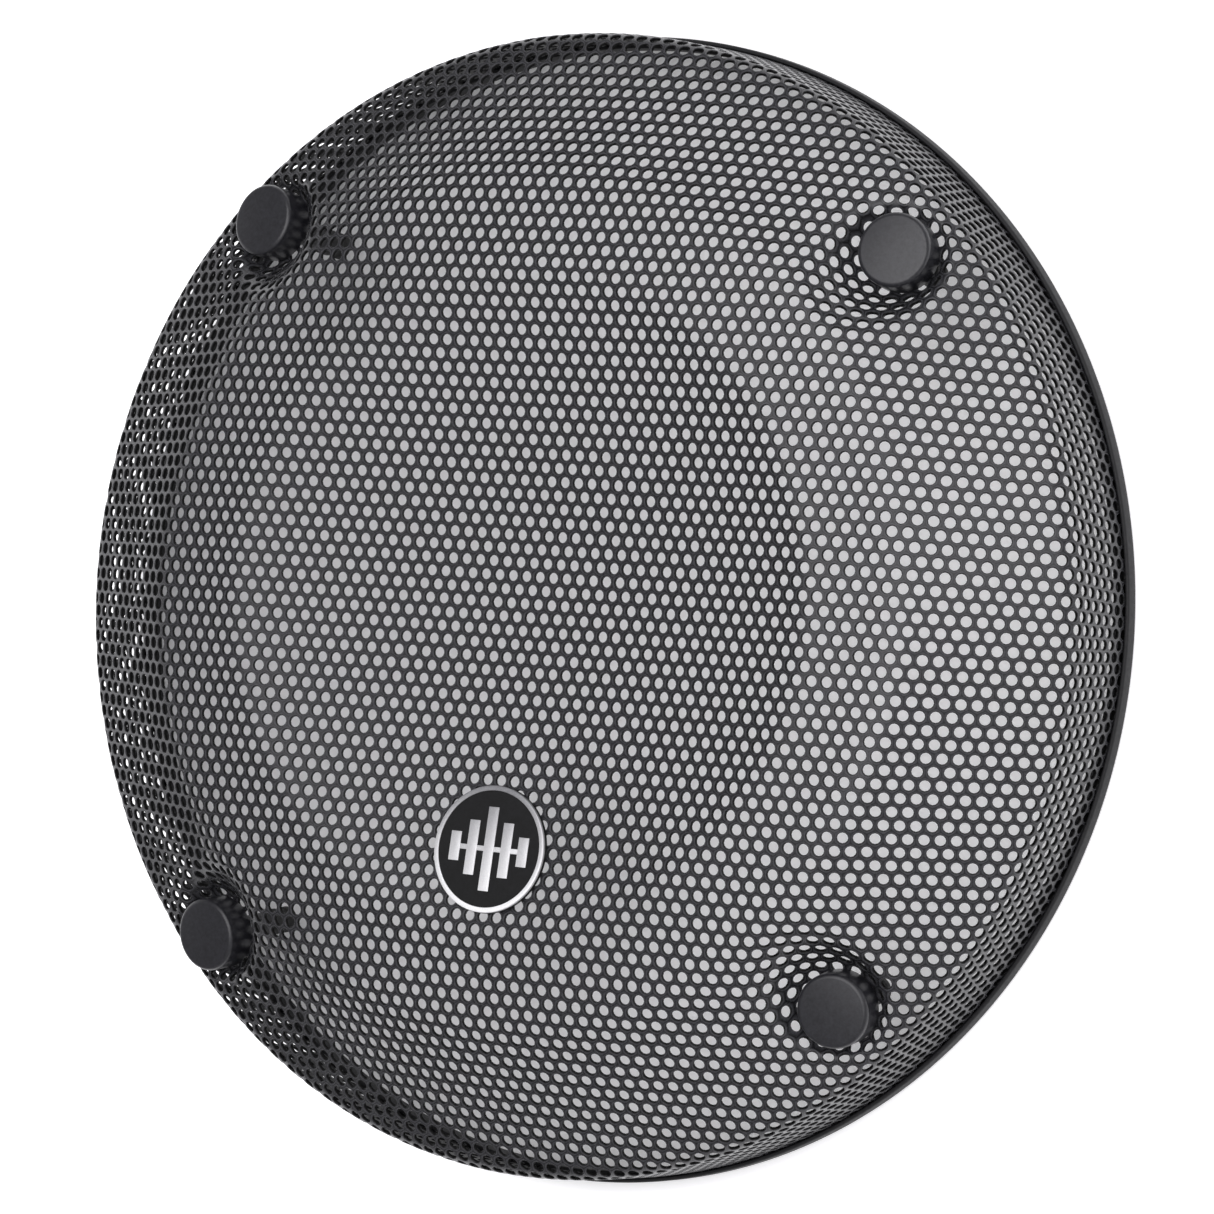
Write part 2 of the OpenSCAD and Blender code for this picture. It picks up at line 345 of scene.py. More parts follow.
def round_hole_frames(flat):
    """The flat frame of each hole, shrunk where the sheet is stretched, so that its hole stays round."""
    step = 0.5 * MM
    along = (drawn(flat + [step, 0]) - drawn(flat - [step, 0])) / (2 * step)
    across = (drawn(flat + [0, step]) - drawn(flat - [0, step])) / (2 * step)
    slopes = np.stack([along, across], 1)
    stretch, ways = np.linalg.eigh(slopes @ slopes.transpose(0, 2, 1))
    shrink = np.clip(1 / np.sqrt(stretch), MIN_SHRINK, 1)
    return (ways * shrink[:, None, :]) @ ways.transpose(0, 2, 1)


def spigot_centres():
    """Flat places of the four holes that the posts' spigots go through."""
    arc = np.interp(POCKET_CIRCLE_R, POCKET_RADII[0], ARC)
    return [
        arc * np.array([math.cos(math.radians(a)), math.sin(math.radians(a))])
        for a in CORNERS.values()
    ]


SPIGOTS = spigot_centres()


def cleared(flat):
    """Moves points that lie in a spigot's hole out to its edge."""
    flat = flat.copy()
    for centre in SPIGOTS:
        off = flat - centre
        distance = np.maximum(np.hypot(off[:, 0], off[:, 1]), TINY)
        inside = distance < SPIGOT_HOLE_R
        flat[inside] = centre + off[inside] * (SPIGOT_HOLE_R / distance[inside])[:, None]
    return flat


def lattice_places(i, j):
    """Flat places of these row and column numbers of the hole pattern."""
    x = (i + j / 2) * PITCH + HOLE_OFFSET[0]
    y = j * math.sqrt(0.75) * PITCH + HOLE_OFFSET[1]
    cos, sin = math.cos(HOLE_TWIST), math.sin(HOLE_TWIST)
    return np.stack([x * cos - y * sin, x * sin + y * cos], 1)


def lattice_cells():
    """Row and column numbers of the perforations, and their flat places."""
    reach = int(ARC[-1] / PITCH * SLANT_MARGIN) + 2
    i, j = np.meshgrid(np.arange(-reach, reach + 1), np.arange(-reach, reach + 1))
    i, j = i.ravel(), j.ravel()
    flat = lattice_places(i, j)
    keep = np.hypot(flat[:, 0], flat[:, 1]) < ARC[-1] - HOLE_EDGE_MARGIN
    for centre in SPIGOTS:
        keep &= np.hypot(*(flat - centre).T) > NO_HOLE_R
    return i[keep], j[keep], flat[keep]


def cell_corners(i, j):
    """Keys of the six corners round each cell, from 30 degrees on, anticlockwise."""
    up, down = 0, 1
    places = [(i, j, up), (i - 1, j, down), (i - 1, j, up)]
    places += [(i - 1, j - 1, down), (i, j - 1, up), (i, j - 1, down)]
    keys = [
        ((a + LATTICE_RANGE) * 2 * LATTICE_RANGE + (b + LATTICE_RANGE)) * 2 + kind
        for a, b, kind in places
    ]
    return np.stack(keys, 1)


def corner_places(keys):
    """Flat places of the lattice corners with these keys."""
    kind = keys % 2
    b = keys // 2 % (2 * LATTICE_RANGE) - LATTICE_RANGE
    a = keys // 2 // (2 * LATTICE_RANGE) - LATTICE_RANGE
    third = (1 + kind) / 3
    return lattice_places(a + third, b + third)


def mesh_from_arrays(name, points, polygons):
    """A mesh from an array of points and a list of arrays of faces, one row a face."""
    mesh = bpy.data.meshes.new(name)
    corners = np.concatenate([p.ravel() for p in polygons]).astype(np.int32)
    counts = np.concatenate([np.full(len(p), p.shape[1]) for p in polygons])
    starts = np.concatenate([[0], np.cumsum(counts)[:-1]]).astype(np.int32)
    mesh.vertices.add(len(points))
    mesh.vertices.foreach_set("co", points.ravel().astype(np.float32))
    mesh.loops.add(len(corners))
    mesh.loops.foreach_set("vertex_index", corners)
    mesh.polygons.add(len(counts))
    mesh.polygons.foreach_set("loop_start", starts)
    mesh.update(calc_edges=True)
    return mesh


def ring_quads(outer, inner):
    """Quads between two rings of vertex numbers, given as one row a ring."""
    outer_next = np.roll(outer, -1, axis=1)
    inner_next = np.roll(inner, -1, axis=1)
    return np.stack([outer, outer_next, inner_next, inner], -1).reshape(-1, 4)


def web_triangles(corners, ring):
    """The web between a cell's six corners and the twelve points of its hole."""
    faces = []
    for k in range(6):
        a, b = corners[:, k], corners[:, (k + 1) % 6]
        first, middle, last = (ring[:, (2 * k + n) % HOLE_SIDES] for n in (1, 2, 3))
        faces += [np.stack(f, 1) for f in ((a, b, middle), (a, middle, first), (b, last, middle))]
    return np.concatenate(faces)


def border_quads(front, back):
    """Walls that close the sheet along the cell edges that only one cell has."""
    edges = np.stack([front, np.roll(front, -1, axis=1)], -1).reshape(-1, 2)
    backs = np.stack([back, np.roll(back, -1, axis=1)], -1).reshape(-1, 2)
    _, where, count = np.unique(
        np.sort(edges, axis=1), axis=0, return_inverse=True, return_counts=True
    )
    alone = count[where.ravel()] == 1
    return np.stack([edges[alone, 1], edges[alone, 0], backs[alone, 0], backs[alone, 1]], 1)


def ring_flat(flat, spokes, radius):
    """Flat places of the points round each hole, this far from its middle."""
    return cleared((flat[:, None, :] + radius * spokes).reshape(-1, 2))


def towards_middle(flat, hole_front, hole_normal):
    """Directions along the sheet from the points of each hole's edge to the hole's middle."""
    middle = np.repeat(drawn(cleared(flat)), HOLE_SIDES, axis=0)
    inward = middle - hole_front
    inward -= np.sum(inward * hole_normal, axis=1)[:, None] * hole_normal
    inward /= np.maximum(np.linalg.norm(inward, axis=1), TINY)[:, None]
    return inward


def set_sheet_normals(mesh, polygons, corner_normal, lip_normal, hole_normal, inward):
    """Shading normals: flat webs, round bores, and the bevel turning from one to the other."""
    zeros = np.zeros_like(corner_normal)
    front = np.concatenate([corner_normal, zeros, lip_normal, inward, inward])
    back = np.concatenate([zeros, -corner_normal, lip_normal, inward, -hole_normal])
    normals = []
    for kind, faces in polygons.items():
        if kind == "border":
            normals.append(np.zeros((faces.size, 3)))
        elif kind == "back":
            normals.append(back[faces.ravel()])
        else:
            normals.append(front[faces.ravel()])
    mesh.polygons.foreach_set("use_smooth", np.ones(len(mesh.polygons), dtype=bool))
    mesh.normals_split_custom_set(np.concatenate(normals).tolist())


def mark_hole_edges(mesh, starts):
    """Gives every point the "hole_edge" value of the part of the sheet that it lies on."""
    across_edge = np.full(starts[5], ON_WEB, dtype=float)
    across_edge[starts[2]:starts[3]] = ON_LIP
    across_edge[starts[3]:starts[5]] = IN_BORE
    mesh.attributes.new("hole_edge", "FLOAT", "POINT").data.foreach_set("value", across_edge)


def sheet_zone(name, i, j, flat, material):
    """One zone of the perforated sheet, as a closed mesh with a rounded edge round every hole."""
    cells = len(flat)
    keys, corner_numbers = np.unique(cell_corners(i, j), return_inverse=True)
    corner_flat = cleared(corner_places(keys))
    angles = np.arange(HOLE_SIDES) * 2 * math.pi / HOLE_SIDES
    spokes = np.stack([np.cos(angles), np.sin(angles)], 1) @ round_hole_frames(flat)
    lip_flat = ring_flat(flat, spokes, HOLE_R + HOLE_BEVEL)
    hole_flat = ring_flat(flat, spokes, HOLE_R)
    corner_normal = surface_normals(corner_flat)
    lip_normal = surface_normals(lip_flat)
    hole_normal = surface_normals(hole_flat)
    corner_front = drawn(corner_flat)
    hole_front = drawn(hole_flat)
    parts = [
        corner_front,
        corner_front - SHEET_T * corner_normal,
        drawn(lip_flat),
        hole_front - HOLE_BEVEL * hole_normal,
        hole_front - SHEET_T * hole_normal,
    ]
    starts = np.cumsum([0] + [len(p) for p in parts])
    ring_numbers = np.arange(cells * HOLE_SIDES).reshape(cells, -1)
    lip, hole, exit_ring = (starts[n] + ring_numbers for n in (2, 3, 4))
    front = corner_numbers.reshape(cells, 6)
    back = front + starts[1]
    polygons = {
        "web": web_triangles(front, lip),
        "back": web_triangles(back, exit_ring)[:, ::-1],
        "bevel": ring_quads(lip, hole),
        "bore": ring_quads(hole, exit_ring),
        "border": border_quads(front, back),
    }
    mesh = mesh_from_arrays(name, np.concatenate(parts), list(polygons.values()))
    inward = towards_middle(flat, hole_front, hole_normal)
    set_sheet_normals(mesh, polygons, corner_normal, lip_normal, hole_normal, inward)
    mark_hole_edges(mesh, starts)
    add_piece(name, mesh, material, "grille", "perforated_dish")


def perforated_sheet(material):
    """The whole sheet, zone by zone from its centre out."""
    i, j, flat = lattice_cells()
    distance = np.hypot(flat[:, 0], flat[:, 1])
    inner = 0
    for name, outer in SHEET_ZONES.items():
        here = (distance >= inner) & (distance < outer)
        sheet_zone(name, i[here], j[here], flat[here], material)
        inner = outer


# ================================================================ turned pieces
def rounded(outline):
    """A closed outline with its corners rounded. Each point is (radius, height, rounding)."""
    points = []
    for n, (x, y, rounding) in enumerate(outline):
        if rounding <= 0:
            points.append((x, y))
            continue
        before = outline[n - 1][:2]
        after = outline[(n + 1) % len(outline)][:2]
        points += [tuple(p) for p in bend_points(before, (x, y), after, rounding, ROUNDING_STEPS)]
    return points


def lathe(outline, segments):
    """A bmesh turned from a closed outline of (radius, height, rounding)."""
    profile = rounded(outline)
    shape = bmesh.new()
    rings = []
    for step in range(segments):
        turn = 2 * math.pi * step / segments
        cos, sin = math.cos(turn), math.sin(turn)
        rings.append([shape.verts.new((r * cos, r * sin, h)) for r, h in profile])
    count = len(profile)
    for step, ring in enumerate(rings):
        following = rings[(step + 1) % segments]
        for n in range(count):
            m = (n + 1) % count
            if max(profile[n][0], profile[m][0]) > WELD:
                shape.faces.new((ring[n], following[n], following[m], ring[m]))
    bmesh.ops.remove_doubles(shape, verts=shape.verts, dist=WELD)
    bmesh.ops.recalc_face_normals(shape, faces=shape.faces)
    return shape


def finished(name, shape, place, material, body, node):
    """Turns a bmesh into a piece of the model, in its place."""
    shape.transform(place)
    mesh = bpy.data.meshes.new(name)
    shape.to_mesh(mesh)
    shape.free()
    mesh.shade_smooth()
    mesh.set_sharp_from_angle(angle=SHARP_ANGLE)
    add_piece(name, mesh, material, body, node)


def joined(*shapes):
    """One bmesh that holds all of these."""
    whole = bmesh.new()
    for shape in shapes:
        part = bpy.data.meshes.new("part")
        shape.to_mesh(part)
        shape.free()
        whole.from_mesh(part)
        bpy.data.meshes.remove(part)
    return whole


def bar(low, high, bevel):
    """A box between two corners with bevelled edges."""
    shape = bmesh.new()
    size = Vector(high) - Vector(low)
    centre = (Vector(high) + Vector(low)) / 2
    place = Matrix.Translation(centre) @ Matrix.Diagonal((*size, 1))
    bmesh.ops.create_cube(shape, size=1, matrix=place)
    bmesh.ops.bevel(
        shape, geom=shape.edges[:], offset=bevel, segments=2, affect="EDGES", profile=0.6
    )
    return shape


def on_post(azimuth):
    """The frame of the pocket at this azimuth: z = 0 on its floor, +Z along the post to the front."""
    turn = Matrix.Rotation(math.radians(azimuth), 4, "Z")
    move = Matrix.Translation((POCKET_CIRCLE_R, 0, POCKET_FLOOR_Z))
    return turn @ move @ Matrix.Rotation(LEAN, 4, "Y")


def on_badge():
    """The badge's frame: z = 0 on the sheet, +Z out of the badge's face."""
    slope = math.asin(BADGE_OFFSET / BOWL_SPHERE_R)
    height = BOWL_Z + BOWL_SPHERE_R - math.sqrt(BOWL_SPHERE_R**2 - BADGE_OFFSET**2)
    move = Matrix.Translation((0, -BADGE_OFFSET, height))
    return move @ Matrix.Rotation(-slope, 4, "X")


def edge_trim(material):
    """The push-on trim: an outer lip, a taller inner lip, and the sheet's edge between them."""
    low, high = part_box("edge_trim")
    outer = min(-low[0], -low[1], high[0], high[1])
    slot_outer = WALL_FOOT[0] + TRIM_SLOT_GAP
    slot_inner = slot_outer - SHEET_T - TRIM_SLOT_SPARE
    lip = outer - slot_outer
    outline = [
        (slot_inner - lip, 0, 0.5 * MM),
        (outer, 0, 0.9 * MM),
        (outer, TRIM_OUTER_LIP_H, 0.75 * MM),
        (slot_outer, TRIM_OUTER_LIP_H, 0.25 * MM),
        (slot_outer, SHEET_EDGE_Z, 0),
        (slot_inner, SHEET_EDGE_Z, 0),
        (slot_inner, high[2], 0.4 * MM),
        (slot_inner - lip, high[2], 0.4 * MM),
    ]
    shape = lathe(outline, TRIM_SEGMENTS)
    finished("edge_trim_ring", shape, Matrix(), material, "grille", "edge_trim")


def cap(corner, azimuth, material):
    """A hollow cap with a rounded edge."""
    inner = NUT_R + CAP_CLEARANCE
    ceiling = CAP_FACE_H - CAP_WALL_TOP
    outline = [
        (0, ceiling, 0),
        (inner, ceiling, 0.5 * MM),
        (inner, CAP_GAP, 0.15 * MM),
        (CAP_R, CAP_GAP, 0.3 * MM),
        (CAP_R, CAP_FACE_H, CAP_EDGE_ROUND),
        (0, CAP_FACE_H, 0),
    ]
    shape = lathe(outline, CAP_SEGMENTS)
    name, node = f"cap_{corner}_moulding", f"cap_{corner}"
    finished(name, shape, on_post(azimuth), material, node, node)


def lock_nut(corner, azimuth, material):
    """A round nut with chamfered edges and four spanner notches."""
    outline = [
        (SPIGOT_R, WASHER_T, 0),
        (NUT_R, WASHER_T, 0.25 * MM),
        (NUT_R, STACK_H, 0.3 * MM),
        (SPIGOT_R, STACK_H, 0.2 * MM),
    ]
    shape = lathe(outline, FITTING_SEGMENTS)
    floor = STACK_H - NUT_NOTCH_DEPTH
    for vert in shape.verts:
        x, y = abs(vert.co.x), abs(vert.co.y)
        in_notch = min(x, y) < NUT_NOTCH_W / 2 and math.hypot(x, y) > NUT_NOTCH_R
        if in_notch and vert.co.z > floor:
            vert.co.z = floor
    name, node = f"lock_nut_{corner}_turning", f"lock_nut_{corner}"
    finished(name, shape, on_post(azimuth), material, "grille", node)


def washer(corner, azimuth, material):
    """A flat washer with rounded edges."""
    outline = [
        (SPIGOT_R + 0.2 * MM, 0, 0.15 * MM),
        (NUT_R - 0.3 * MM, 0, 0.15 * MM),
        (NUT_R - 0.3 * MM, WASHER_T, 0.25 * MM),
        (SPIGOT_R + 0.2 * MM, WASHER_T, 0.25 * MM),
    ]
    shape = lathe(outline, FITTING_SEGMENTS)
    name, node = f"washer_{corner}_stamping", f"washer_{corner}"
    finished(name, shape, on_post(azimuth), material, "grille", node)


def post(corner, azimuth, material):
    """A moulded standoff: spigot, flange and barrel, with a countersunk screw bore."""
    under = -SHEET_T - FLANGE_T
    outline = [
        (BORE_R, -POST_LENGTH, 0.3 * MM),
        (POST_R, -POST_LENGTH, 0.3 * MM),
        (POST_R, under, 0.8 * MM),
        (FLANGE_R, under, 0.4 * MM),
        (FLANGE_R, -SHEET_T, 0.2 * MM),
        (SPIGOT_R, -SHEET_T, 0),
        (SPIGOT_R, STACK_H, 0.2 * MM),
        (COUNTERSINK_R, STACK_H, 0),
        (BORE_R, STACK_H - (COUNTERSINK_R - BORE_R), 0.2 * MM),
    ]
    shape = lathe(outline, FITTING_SEGMENTS)
    name, node = f"post_{corner}_moulding", f"post_{corner}"
    finished(name, shape, on_post(azimuth), material, "grille", node)


def post_foot(corner, azimuth, material):
    """A rubber sleeve on the post's end, with two rounded ribs and an open end."""
    end = -POST_LENGTH - FOOT_END
    lower_rib_top = end + 2.4 * MM
    waist_low = end + 3 * MM
    waist_high = end + 5 * MM
    upper_rib_low = end + 5.6 * MM
    top = -POST_LENGTH + FOOT_SLEEVE
    outline = [
        (FOOT_BORE_R, end, 0.3 * MM),
        (FOOT_R, end, 0.6 * MM),
        (FOOT_R, lower_rib_top, 0.3 * MM),
        (FOOT_WAIST_R, waist_low, 0.3 * MM),
        (FOOT_WAIST_R, waist_high, 0.3 * MM),
        (FOOT_R, upper_rib_low, 0.3 * MM),
        (FOOT_R, top, 0.35 * MM),
        (POST_R, top, 0.2 * MM),
        (POST_R, -POST_LENGTH, 0),
        (FOOT_BORE_R, -POST_LENGTH, 0.2 * MM),
    ]
    shape = lathe(outline, FITTING_SEGMENTS)
    name, node = f"post_foot_{corner}_sleeve", f"post_foot_{corner}"
    finished(name, shape, on_post(azimuth), material, "grille", node)


def on_both_studs(outline, segments):
    """Two turned shapes, one on the axis of each of the badge's studs."""
    shapes = []
    for side in (-1, 1):
        shape = lathe(outline, segments)
        shape.transform(Matrix.Translation((side * STUD_SPACING / 2, 0, 0)))
        shapes.append(shape)
    return shapes


def badge_base(place, material):
    """A disc with a chamfered lower edge, and two studs that go through the sheet."""
    outline = [
        (0, BADGE_LIFT, 0),
        (BADGE_R - 0.5 * MM, BADGE_LIFT, 0.2 * MM),
        (BADGE_R, BADGE_LIFT + 0.4 * MM, 0.2 * MM),
        (BADGE_R, BADGE_REBATE_H, 0),
        (0, BADGE_REBATE_H, 0),
    ]
    stud_outline = [
        (0, STUD_END, 0),
        (STUD_R, STUD_END, 0.3 * MM),
        (STUD_R, STUD_ROOT, 0),
        (0, STUD_ROOT, 0),
    ]
    shape = joined(lathe(outline, BADGE_SEGMENTS), *on_both_studs(stud_outline, STUD_SEGMENTS))
    finished("badge_base_moulding", shape, place, material, "grille", "badge_base")


def badge_ring(place, material):
    """The bright ring round the face."""
    outline = [
        (BADGE_RING_INNER_R, BADGE_REBATE_H, 0),
        (BADGE_RING_OUTER_R, BADGE_REBATE_H, 0),
        (BADGE_RING_OUTER_R, BADGE_H, 0.3 * MM),
        (BADGE_RING_INNER_R, BADGE_H, 0.12 * MM),
    ]
    shape = lathe(outline, BADGE_RING_SEGMENTS)
    finished("badge_ring_band", shape, place, material, "grille", "badge_ring")


def badge_face(place, material):
    """The black disc inside the ring, a little lower than it."""
    outline = [
        (0, BADGE_REBATE_H, 0),
        (BADGE_RING_INNER_R, BADGE_REBATE_H, 0),
        (BADGE_RING_INNER_R, FACE_TOP, 0),
        (0, FACE_TOP, 0),
    ]
    shape = lathe(outline, BADGE_SEGMENTS)
    finished("badge_face_disc", shape, place, material, "grille", "badge_face")


def badge_emblem(place, material):
    """Upright bars on a line, like a sound level display."""
    reach = EMBLEM_STEP * (len(EMBLEM_BARS) - 1) / 2
    line_low = (-reach, -EMBLEM_LINE_W / 2, EMBLEM_SUNK)
    line_high = (reach, EMBLEM_LINE_W / 2, EMBLEM_LINE_TOP)
    bars = [bar(line_low, line_high, EMBLEM_LINE_BEVEL)]
    for n, height in enumerate(EMBLEM_BARS):
        x = n * EMBLEM_STEP - reach
        low = (x - EMBLEM_BAR_W / 2, -height / 2, EMBLEM_SUNK)
        high = (x + EMBLEM_BAR_W / 2, height / 2, EMBLEM_TOP)
        bars.append(bar(low, high, EMBLEM_BEVEL))
    shape = joined(*bars)
    finished("badge_emblem_bars", shape, place, material, "grille", "badge_emblem")


def badge_backing(place, material):
    """The plate behind the sheet that the studs go through."""
    outline = [
        (0, BACKING_END, 0),
        (BACKING_R, BACKING_END, 0.3 * MM),
        (BACKING_R, BACKING_TOP, 0.2 * MM),
        (0, BACKING_TOP, 0),
    ]
    shape = lathe(outline, BACKING_SEGMENTS)
    node = "badge_backing_plate"
    finished("badge_backing_disc", shape, place, material, "grille", node)


def badge_push_nuts(place, material):
    """The two dished nuts on the studs."""
    outline = [
        (STUD_R, BACKING_END - PUSH_NUT_T * 0.6, 0),
        (PUSH_NUT_R * 0.6, BACKING_END - PUSH_NUT_T, 0.2 * MM),
        (PUSH_NUT_R, BACKING_END - PUSH_NUT_T * 0.5, 0.1 * MM),
        (PUSH_NUT_R, BACKING_END, 0),
        (STUD_R, BACKING_END, 0),
    ]
    shape = joined(*on_both_studs(outline, PUSH_NUT_SEGMENTS))
    node = "badge_push_nuts"
    finished("badge_push_nut_pair", shape, place, material, "grille", node)


def badge(black, silver, zinc):
    """The whole badge, with its fixings behind the sheet."""
    place = on_badge()
    badge_base(place, black)
    badge_ring(place, silver)
    badge_face(place, black)
    badge_emblem(place, silver)
    badge_backing(place, zinc)
    badge_push_nuts(place, zinc)


# ================================================================ materials
def new_material(name):
    """A material with one Principled shader: the material, its node tree and that shader."""
    material = bpy.data.materials.new(name)
    material.use_nodes = True
    tree = material.node_tree
    return material, tree, tree.nodes["Principled BSDF"]


def noise(tree, scale, detail, stretch=(1, 1, 1)):
    """Noise in the object's own coordinates, with this many cells a metre."""
    place = tree.nodes.new("ShaderNodeTexCoord")
    mapping = tree.nodes.new("ShaderNodeMapping")
    mapping.inputs["Scale"].default_value = stretch
    texture = tree.nodes.new("ShaderNodeTexNoise")
    texture.inputs["Scale"].default_value = scale
    texture.inputs["Detail"].default_value = detail
    tree.links.new(place.outputs["Object"], mapping.inputs["Vector"])
    tree.links.new(mapping.outputs["Vector"], texture.inputs["Vector"])
    return texture.outputs["Fac"]


def ramp(tree, factor, low, high, start=0.3, end=0.7):
    """Colours between low and high, by a factor."""
    node = tree.nodes.new("ShaderNodeValToRGB")
    node.color_ramp.elements[0].position = start
    node.color_ramp.elements[0].color = (*low, 1)
    node.color_ramp.elements[1].position = end
    node.color_ramp.elements[1].color = (*high, 1)
    tree.links.new(factor, node.inputs["Fac"])
    return node.outputs["Color"]


def spread(tree, factor, low, high, start=0.3, end=0.7):
    """A number between low and high, by a factor between start and end."""
    node = tree.nodes.new("ShaderNodeMapRange")
    node.inputs["From Min"].default_value = start
    node.inputs["From Max"].default_value = end
    node.inputs["To Min"].default_value = low
    node.inputs["To Max"].default_value = high
    tree.links.new(factor, node.inputs["Value"])
    return node.outputs["Result"]


def bump(tree, shader, height, strength, distance):
    """Raises the surface by a height, up to this distance."""
    node = tree.nodes.new("ShaderNodeBump")
    node.inputs["Strength"].default_value = strength
    node.inputs["Distance"].default_value = distance
    tree.links.new(height, node.inputs["Height"])
    tree.links.new(node.outputs["Normal"], shader.inputs["Normal"])


# The Mix node's colour sockets, which share their names with those for numbers
MIX_COLOUR_A = 6
MIX_COLOUR_B = 7
MIX_COLOUR_RESULT = 2


def mixed(tree, factor, first, second):
    """Two colours mixed by a factor."""
    node = tree.nodes.new("ShaderNodeMix")
    node.data_type = "RGBA"
    tree.links.new(factor, node.inputs["Factor"])
    tree.links.new(first, node.inputs[MIX_COLOUR_A])
    tree.links.new(second, node.inputs[MIX_COLOUR_B])
    return node.outputs[MIX_COLOUR_RESULT]


def coordinate(tree, kind, axis):
    """One coordinate, X, Y or Z, in Object or Generated coordinates."""
    place = tree.nodes.new("ShaderNodeTexCoord")
    split = tree.nodes.new("ShaderNodeSeparateXYZ")
    tree.links.new(place.outputs[kind], split.inputs["Vector"])
    return split.outputs[axis]


def coated_sheet_material():
    """Fine black powder coat with faint orange peel, with a painted highlight on each hole's lip and
    painted shade inside the bores.
    """
    material, tree, shader = new_material("black_powder_coat")
    edge = tree.nodes.new("ShaderNodeAttribute")
    edge.attribute_name = "hole_edge"
    place = edge.outputs["Fac"]
    cloudy = ramp(tree, noise(tree, 60, 2), (0.004, 0.004, 0.0045), (0.008, 0.008, 0.009))
    # Painted highlight: a much lighter colour on each hole's lip.
    painted_lip_highlight = ramp(tree, noise(tree, 900, 3), (0.036, 0.036, 0.040), (0.056, 0.056, 0.062))
    # Painted shade: a near-black colour inside the bores.
    dark = ramp(tree, noise(tree, 900, 3), (0.004, 0.004, 0.004), (0.008, 0.008, 0.008))
    coat = mixed(tree, spread(tree, place, 0, 1, ON_WEB, ON_LIP), cloudy, painted_lip_highlight)
    colour = mixed(tree, spread(tree, place, 0, 1, IN_BORE, ON_WEB), dark, coat)
    tree.links.new(colour, shader.inputs["Base Color"])
    tree.links.new(spread(tree, noise(tree, 700, 3), 0.22, 0.31), shader.inputs["Roughness"])
    # Painted shade: less shine inside the bores.
    shine = spread(tree, place, 0.08, 0.29, IN_BORE, ON_WEB)
    tree.links.new(shine, shader.inputs["Specular IOR Level"])
    bump(tree, shader, noise(tree, 2200, 3), 0.35, 0.03 * MM)
    return material


def moulded_material(name, dark, light, rough, grain, depth, shine):
    """Black moulded plastic or rubber, mottled, with a grain of this many cells a metre."""
    material, tree, shader = new_material(name)
    fine = ramp(tree, noise(tree, grain * 0.5, 2), dark, light)
    coarse = ramp(tree, noise(tree, 600, 4), dark, light)
    tree.links.new(mixed(tree, noise(tree, 150, 3), fine, coarse), shader.inputs["Base Color"])
    shader.inputs["Specular IOR Level"].default_value = shine
    roughness = spread(tree, noise(tree, grain * 0.6, 4), *rough)
    tree.links.new(roughness, shader.inputs["Roughness"])
    bump(tree, shader, noise(tree, grain, 4), 0.4, depth)
    return material


def silver_material():
    """Satin silver with a fine even grain, and a painted reflection that runs from dark at the badge's
    top to light at its bottom.
    """
    material, tree, shader = new_material("badge_silver")
    # Painted reflection: the silver is darker towards the badge's top and lighter towards its bottom.
    place = coordinate(tree, "Object", "Y")
    height = spread(tree, place, 0, 1, -BADGE_OFFSET - BADGE_R, -BADGE_OFFSET + BADGE_R)
    grain = noise(tree, 2600, 3)
    upper = ramp(tree, grain, (0.17, 0.17, 0.18), (0.23, 0.23, 0.24))
    lower = ramp(tree, grain, (0.90, 0.90, 0.91), (1, 1, 1))
    tree.links.new(mixed(tree, height, lower, upper), shader.inputs["Base Color"])
    tree.links.new(spread(tree, grain, 0.30, 0.40), shader.inputs["Roughness"])
    shader.inputs["Metallic"].default_value = 0.35
    bump(tree, shader, grain, 0.05, 0.01 * MM)
    return material


def brushed_material(name, dark, light, rough, stretch):
    """Brushed metal with its grain along the axis that stretch leaves small."""
    material, tree, shader = new_material(name)
    grain = noise(tree, 1, 4, stretch)
    tree.links.new(ramp(tree, grain, dark, light), shader.inputs["Base Color"])
    tree.links.new(spread(tree, grain, *rough), shader.inputs["Roughness"])
    shader.inputs["Metallic"].default_value = 1
    bump(tree, shader, grain, 0.25, 0.01 * MM)
    return material


# ================================================================ the studio
def camera():
    """Looks down on the front from its right-hand side, with the top of the grille up."""
    azimuth = math.radians(0.82)
    elevation = math.radians(59.0)
    roll = math.radians(4.58)
    distance = 1.649
    film_width_mm = 36
    focal_length_mm = 178.4
    aim = Vector((13.6 * MM, 0.4 * MM, 30 * MM))
    level = math.cos(elevation)
    back = Vector((level * math.cos(azimuth), level * math.sin(azimuth), math.sin(elevation)))
    right = Vector((0, 1, 0)).cross(back).normalized()
    up = back.cross(right)
    rolled_right = right * math.cos(roll) + up * math.sin(roll)
    rolled_up = up * math.cos(roll) - right * math.sin(roll)
    turn = Matrix((rolled_right, rolled_up, back)).transposed().to_4x4()
    data = bpy.data.cameras.new("camera")
    data.sensor_width = film_width_mm
    data.lens = focal_length_mm
    view = in_scene("camera", data)
    view.matrix_world = Matrix.Translation(aim + back * distance) @ turn
    bpy.context.scene.camera = view


def softbox(name, place, size, power):
    """A square area light that faces the grille."""
    data = bpy.data.lights.new(name, "AREA")
    data.size = size
    data.energy = power
    data.color = LIGHT_COLOUR
    light = in_scene(name, data)
    light.location = place
    light.visible_camera = False
    light.rotation_mode = "QUATERNION"
    light.rotation_quaternion = (-Vector(place)).to_track_quat("-Z", "Y")


def surround():
    """A white world that is brighter on the right-hand side."""
    world = bpy.data.worlds.new("surround")
    world.use_nodes = True
    tree = world.node_tree
    strength = spread(tree, coordinate(tree, "Generated", "X"), *SURROUND_STRENGTH, -1, 1)
    background = tree.nodes["Background"]
    background.inputs["Color"].default_value = (*LIGHT_COLOUR, 1)
    tree.links.new(strength, background.inputs["Strength"])
    bpy.context.scene.world = world


